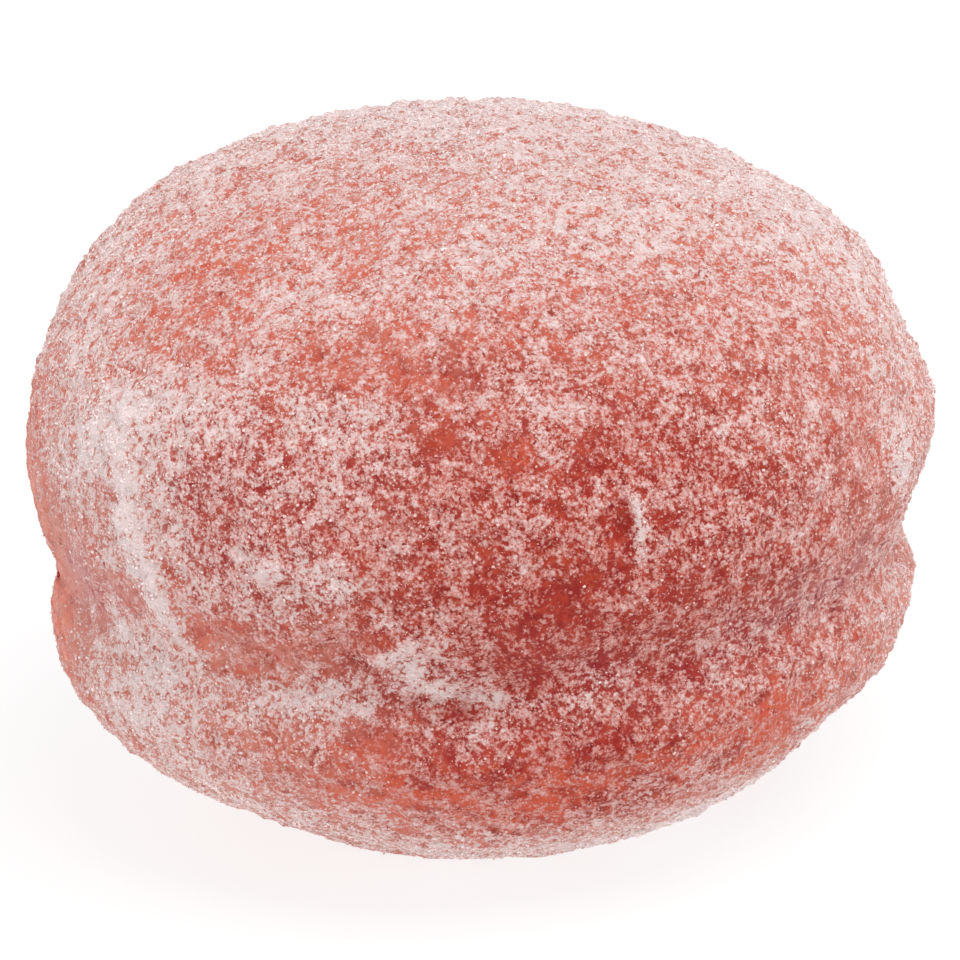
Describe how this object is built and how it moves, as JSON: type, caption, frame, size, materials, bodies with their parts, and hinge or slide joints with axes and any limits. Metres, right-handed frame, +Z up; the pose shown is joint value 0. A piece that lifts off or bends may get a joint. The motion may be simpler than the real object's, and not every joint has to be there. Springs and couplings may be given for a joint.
{
  "type": "mini doughnut",
  "caption": "Small uncut ball doughnut without a hole, with a high crown, a soft crease round its side and a lower lobe, coated all over in fine sugar.",
  "frame": {"origin": "middle of the bounding box at the bottom, on the surface the doughnut stands on", "axes": "+Z up through the crown, -Y towards the side the picture shows, +X to the right in the picture"},
  "size_m": [0.06, 0.06, 0.0449],
  "materials": {
    "crust": null
  },
  "bodies": {
    "root": {"doughnut": "crust"}
  },
  "joints": []
}
